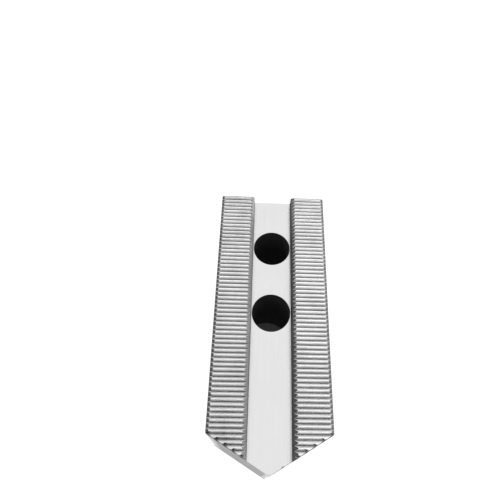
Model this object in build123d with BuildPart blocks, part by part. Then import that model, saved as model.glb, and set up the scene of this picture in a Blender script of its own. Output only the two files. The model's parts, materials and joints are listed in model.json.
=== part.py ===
"""Pointed chuck jaw: a one-piece steel top jaw that bolts to a power chuck's master jaw.

The jaw stands on its flat working face with the serrated mounting face up.
X runs across the width, Y along the length with the point at -Y, Z up.
The origin is at the middle of the footprint, on the working face.
"""
from build123d import *
import os
from math import ceil, radians, sin, tan

# Block
jaw_width = 39.0
jaw_height = 50.0
jaw_length = 95.25           # from the rear face to the rounded point
nose_half_angle = 60.0       # three such points close up to a full circle
point_radius = 0.6
point_bevel_length = 0.7     # bevel on the point's upper corner, along the keyway floor
point_bevel_height = 2.5

# Keyway that locates the jaw sideways on its T-nut
keyway_width = 14.0
keyway_depth = 5.0
keyway_corner_radius = 0.2

# Serrations across the mounting face
serration_pitch = 1.5
serration_angle = 60.0       # included angle of each V
serration_depth = 0.9
serration_root_flat = 0.2
serration_start = 1.65       # from the rear face to the first full valley
cutter_overcut = 0.1         # how far each V cutter stands above the crests

# Bolt holes, counterbored from the working face for socket head screws
bolt_hole_diameter = 13.5
bolt_spacing = 25.0
rear_bolt_inset = 20.0       # from the rear face to the first hole
screw_head_bore = 20.0
screw_head_depth = 25.0
head_bore_break = 0.5

# Chamfers and edge breaks
rail_inner_chamfer = 1.4
rail_outer_chamfer = 1.0
rail_rear_chamfer = 0.8
nose_edge_break = 0.2
corner_break = 0.25
foot_break = 0.25

# Places that follow from the sizes
rear_y = jaw_length / 2
tip_y = -jaw_length / 2
sharp_tip_y = tip_y - point_radius * (1 / sin(radians(nose_half_angle)) - 1)
shoulder_y = sharp_tip_y + jaw_width / 2 / tan(radians(nose_half_angle))
bar_length = rear_y - sharp_tip_y
bar_middle_y = (rear_y + sharp_tip_y) / 2
keyway_floor_z = jaw_height - keyway_depth
bolt_middle_y = rear_y - rear_bolt_inset - bolt_spacing / 2

cutter_height = serration_depth + cutter_overcut
cutter_mouth = serration_root_flat + 2 * cutter_height * tan(radians(serration_angle / 2))
groove_count = ceil((jaw_length - serration_start) / serration_pitch) + 1
groove_row_length = (groove_count - 1) * serration_pitch
groove_middle_y = rear_y - serration_start + serration_pitch - groove_row_length / 2


def distance_from_middle(edge):
    return abs(edge.center().X)


def runs_along_nose(edge):
    direction = edge.tangent_at(0.5)
    return abs(direction.X) > 0.1 and abs(direction.Y) > 0.1


with BuildPart() as jaw:
    # Bar with its keyway
    with BuildSketch(Plane.XY):
        with Locations((0, bar_middle_y)):
            Rectangle(jaw_width, bar_length)
    extrude(amount=jaw_height)
    with BuildSketch(Plane.XY.offset(jaw_height)):
        with Locations((0, bar_middle_y)):
            Rectangle(keyway_width, bar_length)
    extrude(amount=-keyway_depth, mode=Mode.SUBTRACT)
    keyway_floor = jaw.faces().filter_by(Axis.Z).filter_by_position(Axis.Z, keyway_floor_z, keyway_floor_z)
    fillet(keyway_floor.edges().filter_by(Axis.Y), radius=keyway_corner_radius)

    # Rails: chamfers down both long sides and across the rear end
    crest_edges = jaw.edges().group_by(Axis.Z)[-1].filter_by(Axis.Y)
    chamfer(crest_edges.group_by(distance_from_middle)[0], length=rail_inner_chamfer)
    crest_edges = jaw.edges().group_by(Axis.Z)[-1].filter_by(Axis.Y)
    chamfer(crest_edges.group_by(distance_from_middle)[-1], length=rail_outer_chamfer)
    crest_edges = jaw.edges().group_by(Axis.Z)[-1].filter_by(Axis.X)
    chamfer(crest_edges.group_by(Axis.Y)[-1], length=rail_rear_chamfer)

    # Nose: the bar is trimmed to its pointed outline
    with BuildSketch(Plane.XY):
        with BuildLine():
            Polyline(
                (0, rear_y),
                (jaw_width / 2, rear_y),
                (jaw_width / 2, shoulder_y),
                (0, sharp_tip_y),
            )
            mirror(about=Plane.YZ)
        make_face()
    extrude(amount=jaw_height, mode=Mode.INTERSECT)
    fillet(jaw.edges().filter_by(Axis.Z).group_by(Axis.Y)[0], radius=point_radius)
    side_corners = jaw.edges().filter_by(Axis.Z).group_by(distance_from_middle)[-1]
    chamfer(side_corners, length=corner_break)
    chamfer(jaw.edges().group_by(Axis.Z)[-1].filter_by(runs_along_nose), length=nose_edge_break)
    chamfer(jaw.faces().sort_by(Axis.Z)[0].outer_wire().edges(), length=foot_break)

    # Bevel on the upper corner of the point
    with BuildSketch(Plane.YZ):
        with Locations((tip_y, keyway_floor_z - point_bevel_height)):
            Polygon(
                (-point_bevel_length, -point_bevel_height),
                (2 * point_bevel_length, 2 * point_bevel_height),
                (-point_bevel_length, 2 * point_bevel_height),
                align=None,
            )
    extrude(amount=keyway_width / 2, both=True, mode=Mode.SUBTRACT)

    # Bolt holes, entered from the working face
    working_face = Plane(origin=(0, bolt_middle_y, 0), x_dir=(1, 0, 0), z_dir=(0, 0, -1))
    with Locations(working_face):
        with GridLocations(0, bolt_spacing, 1, 2):
            CounterBoreHole(bolt_hole_diameter / 2, screw_head_bore / 2, screw_head_depth)
    head_bore_rims = jaw.faces().sort_by(Axis.Z)[0].inner_wires().edges()
    chamfer(head_bore_rims, length=head_bore_break)

    # Serrations: a row of V grooves cut square across both rails
    with BuildSketch(Plane.YZ.offset(-jaw_width / 2)):
        with Locations((groove_middle_y, jaw_height - serration_depth)):
            with GridLocations(serration_pitch, 0, groove_count, 1):
                Polygon(
                    (-serration_root_flat / 2, 0),
                    (serration_root_flat / 2, 0),
                    (cutter_mouth / 2, cutter_height),
                    (-cutter_mouth / 2, cutter_height),
                    align=None,
                )
    extrude(amount=jaw_width, mode=Mode.SUBTRACT)

jaw.part.label = "chuck_jaw"
os.makedirs("parts", exist_ok=True)
export_step(jaw.part, "parts/chuck_jaw.step")
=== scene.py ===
"""Looks of the pointed chuck jaw: ground and milled steel with serrated rails, on a plain white floor."""

import json
from math import pi
from types import SimpleNamespace

import bpy
from mathutils import Euler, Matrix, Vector


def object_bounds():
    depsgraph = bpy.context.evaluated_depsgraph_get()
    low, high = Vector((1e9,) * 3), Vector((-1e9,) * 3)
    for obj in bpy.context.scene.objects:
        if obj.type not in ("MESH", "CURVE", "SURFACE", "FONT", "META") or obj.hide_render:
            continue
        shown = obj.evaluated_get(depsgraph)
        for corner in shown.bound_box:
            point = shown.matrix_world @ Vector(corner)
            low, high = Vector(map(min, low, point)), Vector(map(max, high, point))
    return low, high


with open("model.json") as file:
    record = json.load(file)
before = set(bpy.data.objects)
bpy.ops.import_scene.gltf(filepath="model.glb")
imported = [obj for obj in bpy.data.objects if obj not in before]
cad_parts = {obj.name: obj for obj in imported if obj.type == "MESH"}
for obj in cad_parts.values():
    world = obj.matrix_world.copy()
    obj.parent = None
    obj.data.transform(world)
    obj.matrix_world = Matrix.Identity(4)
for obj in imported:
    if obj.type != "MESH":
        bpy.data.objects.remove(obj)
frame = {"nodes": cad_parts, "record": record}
cad_low, cad_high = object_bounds()

MM = 0.001
jaw = frame["nodes"]["chuck_jaw"]
mounts = {mount["name"]: mount for mount in frame["record"]["mounts"]}

# Sizes of the jaw in millimetres, from the frame
jaw_top = cad_high.z / MM
half_width = cad_high.x / MM
rear = cad_high.y / MM
keyway_floor = mounts["keyway"]["pos_m"][2] / MM
head_bore_radius = mounts["rear_head_bore"]["dims"]["r_mm"]
bolt_places = [mounts[name]["pos_m"][1] / MM for name in ("rear_bolt_hole", "front_bolt_hole")]
nose_normal = [abs(value) for value in mounts["right_nose_face"]["axis"]]
nose_point = [abs(value) / MM for value in mounts["right_nose_face"]["pos_m"]]
nose_reach = nose_normal[0] * nose_point[0] + nose_normal[1] * nose_point[1]

# Sizes of the jaw in millimetres that no mount states
SERRATION_DEPTH = 0.9
KEYWAY_WIDTH = 14.0

# Camera, from the photograph's own perspective, in pixels, millimetres and radians
PHOTO_PIXELS = 500
FOCAL_PIXELS = 466.85
PRINCIPAL_POINT = (274.87, 219.88)
CAMERA_PLACE = (-6.840, -49.661, 202.917)
CAMERA_TURN = (0.51570, -0.05427, 0.00738)
SENSOR_WIDTH = 36.0

# Lights: place, the point each is aimed at, size in metres and radiance
OVERHEAD = {"place": (0.1, 0.2, 0.85), "aim": (0.05, 0.1, 0.05), "size": (1.4, 1.1), "radiance": 0.37}
REAR = {"place": (0.35, 0.95, 0.75), "aim": (0.0, 0.0, 0.05), "size": (0.9, 0.5), "radiance": 0.62}
RIGHT = {"place": (0.9, 0.15, 0.2), "aim": (0.0, 0.0, 0.05), "size": (1.2, 0.35), "radiance": 1.3}

# World: its level rises from the horizon's to the sky's over this range of the direction's upward part
HORIZON_LEVEL = 0.12
SKY_LEVEL = 0.8
SKY_RISE = (0.15, 0.5)

# Floor: half its size in metres, its finish and its glow, then the painted shadow at the jaw's foot: the
# millimetres outside the jaw's outline from which the glow is full, and the share of it left under the
# jaw
FLOOR_REACH = 4.0
FLOOR_COLOUR = 0.3
FLOOR_ROUGHNESS = 0.9
FLOOR_GLOW = 0.9
FOOT_SHADOW_FADE = 0.2
UNDER_JAW_SHADOW_GLOW = 0.015

# Finishes: colour, roughness, how far the colour varies and how deep the marks are in millimetres
GROUND = {"colour": 0.68, "roughness": 0.24, "grain": 0.05, "relief": 0.0015}
SIDES = {"colour": 0.60, "roughness": 0.36, "grain": 0.16, "relief": 0.003}
# The nose faces' dark colour is partly their finish and partly painted shade, for the shadowed floor they
# reflect
NOSE = {"colour": 0.20, "roughness": 0.42, "grain": 0.12, "relief": 0.003}
CHAMFER = {"colour": 0.21, "roughness": 0.35, "grain": 0.25, "relief": 0.003}
WALL = {"colour": 0.065, "roughness": 0.70, "grain": 0.25, "relief": 0.003}
CUT = {"colour": 0.62, "roughness": 0.22, "grain": 0.40, "relief": 0.04}
CREST = {"colour": 0.70, "roughness": 0.25, "grain": 0.20, "relief": 0.003}
BLACK = {"colour": 0.18, "roughness": 0.55, "grain": 0.20, "relief": 0.004}
GRAIN_GAIN = 2.0
GLOSS_SWING = 0.2

# Marks of the tools: how often they vary per millimetre along X, Y and Z
ALONG_MARKS = (5.0, 0.04, 0.04)
LEVEL_MARKS = (0.05, 0.05, 5.0)
STREAKS = (0.6, 2.5, 2.5)
SPECKS = (2.0, 1.2, 1.2)
PATCHES = (0.12, 0.12, 0.12)

# What tells the regions apart: parts of the surface's unit normal. A pair is where a mask begins and
# where it is full
LEVEL_FACE = (0.5, 0.7)
NOSE_SIDEWAYS = 0.5
NOSE_ENDWAYS = (0.8, 0.85)
CHAMFER_UPWARDS = 0.71
NORMAL_REACH = 0.1
WALL_SIDEWAYS = (0.15, 0.3)
GROOVE_SIDEWAYS = (0.3, 0.4)
CREST_UPWARDS = (0.9, 0.95)
RIM_UPWARDS = (0.3, 0.4)
FACES_REAR = (-0.1, 0.1)
REAR_FLANK = (0.1, 0.3)
FACES_RIGHT = (0.3, 0.6)

# What tells the regions apart: heights and distances in millimetres
ABOVE_FLOOR = (0.01, 0.03)
KEYWAY_ROOM = 0.05
RAIL_ROOM = 0.02
CREST_DEPTH = 0.05
BORE_ROOM = (0.05, 0.1)
BORE_FOOT = (0.02, 0.05)
BORE_TOP = (0.05, 0.02)

# Serrations, beyond their cuts' finish: the rear flanks, lighter as painted light, the painted shade the
# front flanks fade to with depth and that fills the roots, and how far specks vary it. Shares of the
# grooves' depth tell where fading and roots begin and are full; the streaks move them by up to half of
# ROOT_WANDER
REAR_FLANK_PAINTED_LIGHT = 1.0
REAR_FLANK_ROUGHNESS = 0.8
DEPTH_SHADE_COLOUR = 0.22
DEPTH_SHADE_SHARES = (0.12, 1.0)
ROOT_SHADE_COLOUR = 0.12
ROOT_SHADE_SHARES = (0.88, 0.98)
ROOT_SHADE_SPECKS = 3.2
ROOT_WANDER = 0.4

# Ends of the grooves in millimetres from the jaw's middle, and the painted shade at the inner and outer
# end, on the front flanks and on the rear flanks
INNER_END = (7.2, 7.9)
OUTER_END = (18.2, 18.9)
END_SHADES = (0.6, 0.35)
REAR_END_SHADES = (1.0, 0.5)

# Tones of the serrations from left to right, rising towards the right as painted light, and from front to
# rear; and of the chamfers: painted light from left to right and on the left rail's right-facing inner
# edge, and painted shade on the outer edges, which start at OUTER_CHAMFER millimetres from the jaw's
# middle
RAIL_PAINTED_LIGHT = (1.13, 1.32)
LENGTH_TONES = (0.93, 1.2)
CHAMFER_PAINTED_LIGHT = (0.9, 1.38)
LEFT_INNER_PAINTED_LIGHT = 1.75
OUTER_PAINTED_SHADE = 0.54
OUTER_CHAMFER = (12.0, 18.0)

# Painted shade at the grooves' exits on the nose: distance from it, depth, and colours from left to right
EXIT_LENGTH = 0.8
EXIT_DEPTHS = (0.3, 0.6)
EXIT_SHADE_COLOURS = (0.05, 0.2)

# Nose faces: painted highlights near the sides and at the point, with a narrow tone along their upper
# edges
SHOULDER_HIGHLIGHT = 0.45
SHOULDER_REACH = 4.0
TIP_HIGHLIGHT = 0.4
TIP_REACH = (0.6, 1.6)
RIM_WIDTH = (0.2, 0.25)
RIM_COLOUR = 0.42

# Nick in the front edge of the keyway's floor
NICK_PLACE = (4.2, -45.4)
NICK_REACH = 0.5
NICK_DEPTHS = (0.3, 0.2)
NICK_COLOUR = 0.22


class Nodes:
    """Short ways to add shader nodes to one tree."""

    def __init__(self, tree):
        self.tree = tree

    def add(self, kind, inputs=None, **settings):
        node = self.tree.nodes.new(kind)
        for name, value in settings.items():
            setattr(node, name, value)
        for name, value in (inputs or {}).items():
            self.put(node.inputs[name], value)
        return node

    def put(self, socket, value):
        if isinstance(value, bpy.types.NodeSocket):
            self.tree.links.new(value, socket)
        else:
            socket.default_value = value

    def math(self, operation, *values):
        node = self.add("ShaderNodeMath", operation=operation)
        for socket, value in zip(node.inputs, values):
            self.put(socket, value)
        return node.outputs[0]

    def product(self, first, *others):
        for other in others:
            first = self.math("MULTIPLY", first, other)
        return first

    def largest(self, first, *others):
        for other in others:
            first = self.math("MAXIMUM", first, other)
        return first

    def invert(self, value):
        return self.math("SUBTRACT", 1.0, value)

    def centre(self, value):
        """A value between 0 and 1, moved to lie between -0.5 and 0.5."""
        return self.math("SUBTRACT", value, 0.5)

    def mix(self, share, first, second):
        inputs = {"Factor": share, "A": first, "B": second}
        return self.add("ShaderNodeMix", inputs, data_type="FLOAT").outputs["Result"]

    def tone(self, colour, mask, factor):
        """The colour times the factor where the mask is 1."""
        return self.product(colour, self.mix(mask, 1.0, factor))

    def between(self, value, low, high):
        """0 up to low, 1 from high, smooth in between."""
        inputs = {"Value": value, "From Min": low, "From Max": high}
        return self.add("ShaderNodeMapRange", inputs, interpolation_type="SMOOTHSTEP").outputs["Result"]

    def near(self, value, middle, reach):
        """1 within reach of middle, 0 from 1.2 times as far off."""
        away = self.math("ABSOLUTE", self.math("SUBTRACT", value, middle))
        return self.invert(self.between(away, reach, reach * 1.2))

    def distance(self, x, y, place):
        """Distance in plan from a place."""
        squares = [self.math("POWER", self.math("SUBTRACT", *pair), 2.0) for pair in zip((x, y), place)]
        return self.math("SQRT", self.math("ADD", *squares))

    def noise(self, place, scales, detail=2.0, roughness=0.5):
        """Noise that varies by the given number of times per millimetre along X, Y and Z."""
        scaled = self.add("ShaderNodeVectorMath", operation="MULTIPLY")
        self.put(scaled.inputs[0], place)
        self.put(scaled.inputs[1], scales)
        inputs = {"Vector": scaled.outputs[0], "Scale": 1.0, "Detail": detail, "Roughness": roughness}
        return self.add("ShaderNodeTexNoise", inputs).outputs["Fac"]

    def place_mm(self):
        scaled = self.add("ShaderNodeVectorMath", operation="SCALE")
        self.put(scaled.inputs[0], self.add("ShaderNodeTexCoord").outputs["Object"])
        scaled.inputs["Scale"].default_value = 1 / MM
        return scaled.outputs[0]

    def axes(self, vector):
        outputs = self.add("ShaderNodeSeparateXYZ", {"Vector": vector}).outputs
        return outputs["X"], outputs["Y"], outputs["Z"]

    def before_nose(self, x, y):
        """Distance from the nearer nose face, positive inside the jaw's outline."""
        across = self.product(self.math("ABSOLUTE", x), nose_normal[0])
        along = self.product(y, -nose_normal[1])
        return self.math("SUBTRACT", nose_reach, self.math("ADD", across, along))


def link_object(name, data):
    thing = bpy.data.objects.new(name, data)
    bpy.context.scene.collection.objects.link(thing)
    return thing


def make_camera():
    data = bpy.data.cameras.new("camera")
    data.sensor_width = SENSOR_WIDTH
    data.lens = FOCAL_PIXELS * SENSOR_WIDTH / PHOTO_PIXELS
    data.shift_x = 0.5 - PRINCIPAL_POINT[0] / PHOTO_PIXELS
    data.shift_y = PRINCIPAL_POINT[1] / PHOTO_PIXELS - 0.5
    camera = link_object("camera", data)
    camera.location = Vector(CAMERA_PLACE) * MM
    camera.rotation_euler = Euler(CAMERA_TURN)
    bpy.context.scene.camera = camera


def make_floor():
    """White floor: it glows for the camera and in reflections; near and under the jaw's foot the glow
    fades, a painted shadow.
    """
    size = FLOOR_REACH
    mesh = bpy.data.meshes.new("floor")
    corners = [(-size, -size, 0), (size, -size, 0), (size, size, 0), (-size, size, 0)]
    mesh.from_pydata(corners, [], [(0, 1, 2, 3)])
    floor = link_object("floor", mesh)
    material = bpy.data.materials.new("floor_white")
    material.use_nodes = True
    tree = Nodes(material.node_tree)
    shader = material.node_tree.nodes["Principled BSDF"]
    shader.inputs["Base Color"].default_value = (FLOOR_COLOUR, FLOOR_COLOUR, FLOOR_COLOUR, 1)
    shader.inputs["Roughness"].default_value = FLOOR_ROUGHNESS
    shader.inputs["Specular IOR Level"].default_value = 0.0
    shader.inputs["Emission Color"].default_value = (1, 1, 1, 1)
    path = tree.add("ShaderNodeLightPath").outputs
    seen = tree.largest(path["Is Camera Ray"], path["Is Glossy Ray"], path["Is Transmission Ray"])
    x, y = tree.axes(tree.place_mm())[:2]
    # Painted shadow: the glow fades near the jaw's outline, and only a small share is left under the jaw
    past_side = tree.math("SUBTRACT", tree.math("ABSOLUTE", x), half_width)
    past_rear = tree.math("SUBTRACT", y, rear)
    past_nose = tree.product(tree.before_nose(x, y), -1.0)
    glow_outside_painted_shadow = tree.between(tree.largest(past_side, past_rear, past_nose), 0.0, FOOT_SHADOW_FADE)
    glow_outside_painted_shadow = tree.mix(glow_outside_painted_shadow, UNDER_JAW_SHADOW_GLOW, 1.0)
    tree.put(shader.inputs["Emission Strength"], tree.product(seen, glow_outside_painted_shadow, FLOOR_GLOW))
    mesh.materials.append(material)


def make_light(name, place, aim, size, radiance):
    data = bpy.data.lights.new(name, "AREA")
    data.shape = "RECTANGLE"
    data.size, data.size_y = size
    data.energy = radiance * pi * size[0] * size[1]
    light = link_object(name, data)
    light.location = place
    light.rotation_euler = (Vector(place) - Vector(aim)).to_track_quat("Z", "Y").to_euler()


def make_world():
    """White behind the floor; for the jaw a sky that is dark at the horizon and light above."""
    world = bpy.data.worlds.new("world")
    world.use_nodes = True
    tree = Nodes(world.node_tree)
    background = world.node_tree.nodes["Background"]
    background.inputs["Color"].default_value = (1, 1, 1, 1)
    upwards = tree.axes(tree.add("ShaderNodeTexCoord").outputs["Generated"])[2]
    level = tree.mix(tree.between(upwards, *SKY_RISE), HORIZON_LEVEL, SKY_LEVEL)
    behind_floor = tree.add("ShaderNodeLightPath").outputs["Is Camera Ray"]
    tree.put(background.inputs["Strength"], tree.mix(behind_floor, level, 1.0))
    bpy.context.scene.world = world


def find_surface(tree):
    """Where a point of the surface is, in millimetres, and which way it faces."""
    place = tree.place_mm()
    x, y, z = tree.axes(place)
    normal_x, normal_y, normal_z = tree.axes(tree.add("ShaderNodeNewGeometry").outputs["True Normal"])
    return SimpleNamespace(
        place=place,
        x=x,
        y=y,
        z=z,
        normal_x=normal_x,
        normal_y=normal_y,
        normal_z=normal_z,
        sideways=tree.math("ABSOLUTE", normal_x),
        endways=tree.math("ABSOLUTE", normal_y),
        across=tree.math("ABSOLUTE", x),
        depth=tree.math("SUBTRACT", jaw_top, z),
        before_nose=tree.before_nose(x, y),
        rightwards=tree.between(x, -half_width, half_width),
        rearwards=tree.between(y, -rear, rear),
    )


def find_bores(tree, at):
    bores = 0.0
    for bolt_y in bolt_places:
        away = tree.distance(at.x, at.y, (0.0, bolt_y))
        radii = [head_bore_radius + room for room in BORE_ROOM]
        bores = tree.largest(bores, tree.invert(tree.between(away, *radii)))
    bores = tree.product(bores, tree.between(at.z, *BORE_FOOT))
    tops = [keyway_floor - room for room in BORE_TOP]
    return tree.product(bores, tree.invert(tree.between(at.z, *tops)))


def find_regions(tree, at):
    """Masks of the regions, 1 inside and 0 outside."""
    above_floor = tree.between(at.z, *[keyway_floor + room for room in ABOVE_FLOOR])
    in_keyway = tree.math("LESS_THAN", at.across, KEYWAY_WIDTH / 2 + KEYWAY_ROOM)
    on_rail = tree.math("LESS_THAN", at.depth, SERRATION_DEPTH + RAIL_ROOM)
    on_crest = tree.math("LESS_THAN", at.depth, CREST_DEPTH)
    vertical = tree.invert(tree.between(tree.math("ABSOLUTE", at.normal_z), *LEVEL_FACE))
    slanted = tree.near(at.sideways, NOSE_SIDEWAYS, NORMAL_REACH)
    chamfer = tree.product(above_floor, tree.near(at.normal_z, CHAMFER_UPWARDS, NORMAL_REACH))
    lengthways = tree.invert(tree.between(at.sideways, *GROOVE_SIDEWAYS))
    return SimpleNamespace(
        on_rail=on_rail,
        vertical=vertical,
        nose=tree.product(slanted, tree.between(at.endways, *NOSE_ENDWAYS), vertical),
        chamfer=chamfer,
        wall=tree.product(above_floor, in_keyway, tree.between(at.sideways, *WALL_SIDEWAYS)),
        serrated=tree.product(on_rail, lengthways, tree.invert(chamfer)),
        crest=tree.product(tree.between(at.normal_z, *CREST_UPWARDS), on_crest),
        bores=find_bores(tree, at),
    )


def make_marks(tree, at, region):
    """Marks that the tools left, between 0 and 1."""
    along_marks = tree.noise(at.place, ALONG_MARKS, detail=3.0, roughness=0.6)
    level_marks = tree.noise(at.place, LEVEL_MARKS, detail=3.0, roughness=0.6)
    streaks = tree.noise(at.place, STREAKS, detail=4.0, roughness=0.65)
    marks = tree.mix(region.vertical, along_marks, level_marks)
    return SimpleNamespace(
        streaks=streaks,
        all=tree.mix(region.serrated, marks, streaks),
        patches=tree.noise(at.place, PATCHES, detail=3.0),
    )


def make_levels(tree, region):
    """Colour, roughness, grain and relief of the finish in each region."""
    finishes = (
        (region.nose, NOSE),
        (region.chamfer, CHAMFER),
        (region.serrated, CUT),
        (region.crest, CREST),
        (region.wall, WALL),
        (region.bores, BLACK),
    )
    levels = {key: tree.mix(region.vertical, GROUND[key], SIDES[key]) for key in GROUND}
    for mask, finish in finishes:
        levels = {key: tree.mix(mask, level, finish[key]) for key, level in levels.items()}
    return levels


def paint_nose_highlights(tree, at, region, colour):
    """Paints highlights on the nose faces near the sides and at the point."""
    near_side = tree.between(at.across, half_width - SHOULDER_REACH, half_width)
    at_point = tree.invert(tree.between(at.across, *TIP_REACH))
    shoulder_highlight = tree.product(region.nose, near_side, SHOULDER_HIGHLIGHT)
    tip_highlight = tree.product(region.nose, at_point, TIP_HIGHLIGHT)
    return tree.math("ADD", colour, tree.math("ADD", shoulder_highlight, tip_highlight))


def paint_groove_light_and_shade(tree, at, region, streaks, colour):
    """Paints light on the rear flanks, and shade on the front flanks, the roots and the grooves' ends."""
    # Painted light: the rear flanks are lighter than the front flanks
    faces_rear = tree.between(at.normal_y, *FACES_REAR)
    painted_light_flanks = tree.product(region.serrated, tree.invert(region.crest), faces_rear)
    colour = tree.mix(painted_light_flanks, colour, REAR_FLANK_PAINTED_LIGHT)

    outer_end = tree.between(at.across, *OUTER_END)
    inner_end = tree.invert(tree.between(at.across, *INNER_END))
    ends = tree.product(region.serrated, tree.largest(inner_end, outer_end))
    inside = tree.product(region.serrated, tree.invert(ends))
    # Painted shade: the front flanks darken with depth and the roots are dark, varied by specks
    wander = tree.product(tree.centre(streaks), ROOT_WANDER)
    share = tree.math("ADD", tree.product(at.depth, 1 / SERRATION_DEPTH), wander)
    depth_shade = tree.product(inside, tree.between(share, *DEPTH_SHADE_SHARES), tree.invert(faces_rear))
    colour = tree.mix(depth_shade, colour, DEPTH_SHADE_COLOUR)

    off_rear_flank = tree.invert(tree.between(at.normal_y, *REAR_FLANK))
    root_shade = tree.product(inside, tree.between(share, *ROOT_SHADE_SHARES), off_rear_flank)
    specks = tree.product(tree.centre(tree.noise(at.place, SPECKS)), ROOT_SHADE_SPECKS)
    colour = tree.mix(root_shade, colour, tree.product(tree.math("ADD", 1.0, specks), ROOT_SHADE_COLOUR))

    # Painted shade at the grooves' ends, less of it on the rear flanks
    front_shade = tree.mix(outer_end, *END_SHADES)
    rear_shade = tree.mix(outer_end, *REAR_END_SHADES)
    return tree.tone(colour, ends, tree.mix(faces_rear, front_shade, rear_shade))


def paint_region_light_and_tones(tree, at, region, colour):
    """Slow tones over the serrations and chamfers: painted light towards the right and on the left inner
    chamfer, painted shade on the outer chamfers, and a tone from front to rear.
    """
    outer_chamfer = tree.product(region.chamfer, tree.between(at.across, *OUTER_CHAMFER))
    faces_right = tree.product(region.chamfer, tree.between(at.normal_x, *FACES_RIGHT))
    left_inner = tree.product(faces_right, tree.math("LESS_THAN", at.x, 0.0))
    # Painted shade on the outer chamfers; painted light on the right-facing left inner chamfer and
    # towards the right
    colour = tree.tone(colour, outer_chamfer, OUTER_PAINTED_SHADE)
    colour = tree.tone(colour, left_inner, LEFT_INNER_PAINTED_LIGHT)
    colour = tree.tone(colour, region.chamfer, tree.mix(at.rightwards, *CHAMFER_PAINTED_LIGHT))
    colour = tree.tone(colour, region.serrated, tree.mix(at.rightwards, *RAIL_PAINTED_LIGHT))
    return tree.tone(colour, region.serrated, tree.mix(at.rearwards, *LENGTH_TONES))


def mark_nose_edges(tree, at, region, colour):
    """Painted shade at the grooves' exits, the tone along the upper edges, and the nick."""
    # Painted shade where the grooves open onto the nose, darker to the left
    at_nose = tree.invert(tree.between(at.before_nose, 0.0, EXIT_LENGTH))
    exit_shade = tree.product(region.serrated, at_nose, tree.between(at.depth, *EXIT_DEPTHS))
    colour = tree.mix(exit_shade, colour, tree.mix(at.rightwards, *EXIT_SHADE_COLOURS))

    at_edge = tree.invert(tree.between(at.before_nose, *RIM_WIDTH))
    rim = tree.product(tree.between(at.normal_z, *RIM_UPWARDS), at_edge)
    colour = tree.mix(rim, colour, tree.mix(region.on_rail, RIM_COLOUR, CHAMFER["colour"]))

    nick = tree.near(tree.distance(at.x, at.y, NICK_PLACE), 0.0, NICK_REACH)
    nick = tree.product(nick, tree.between(at.z, *[keyway_floor - depth for depth in NICK_DEPTHS]))
    return tree.mix(nick, colour, NICK_COLOUR)


def steel():
    """One block of steel with the finish of each region: ground, milled, serrated and black bores, with
    painted light and shade on the nose faces, serrations and chamfers.
    """
    material = bpy.data.materials.new("steel")
    material.use_nodes = True
    tree = Nodes(material.node_tree)
    shader = material.node_tree.nodes["Principled BSDF"]
    at = find_surface(tree)
    region = find_regions(tree, at)
    marks = make_marks(tree, at, region)
    levels = make_levels(tree, region)

    colour = paint_nose_highlights(tree, at, region, levels["colour"])
    colour = paint_groove_light_and_shade(tree, at, region, marks.streaks, colour)
    colour = paint_region_light_and_tones(tree, at, region, colour)
    colour = mark_nose_edges(tree, at, region, colour)
    swing = tree.math("SUBTRACT", tree.math("ADD", marks.all, marks.patches), 1.0)
    grain = tree.product(swing, levels["grain"], GRAIN_GAIN)
    colour = tree.product(colour, tree.math("ADD", 1.0, grain))
    colour = tree.math("MINIMUM", colour, 1.0)
    channels = {"Red": colour, "Green": colour, "Blue": colour}
    grey = tree.add("ShaderNodeCombineColor", channels).outputs["Color"]

    gloss = tree.product(tree.centre(marks.patches), GLOSS_SWING)
    roughness = tree.math("ADD", levels["roughness"], gloss)
    rear_flank = tree.product(region.serrated, tree.between(at.normal_y, *REAR_FLANK))
    roughness = tree.mix(rear_flank, roughness, REAR_FLANK_ROUGHNESS)
    height = tree.product(marks.all, levels["relief"], MM)
    bump = tree.add("ShaderNodeBump", {"Height": height, "Strength": 1.0, "Distance": 1.0})
    tree.put(shader.inputs["Base Color"], grey)
    tree.put(shader.inputs["Roughness"], roughness)
    tree.put(shader.inputs["Normal"], bump.outputs["Normal"])
    shader.inputs["Metallic"].default_value = 1.0
    return material


make_camera()
make_floor()
make_world()
make_light("overhead", **OVERHEAD)
make_light("rear", **REAR)
make_light("right", **RIGHT)
jaw.material_slots[0].material = steel()

bpy.context.scene.view_settings.view_transform = "Standard"
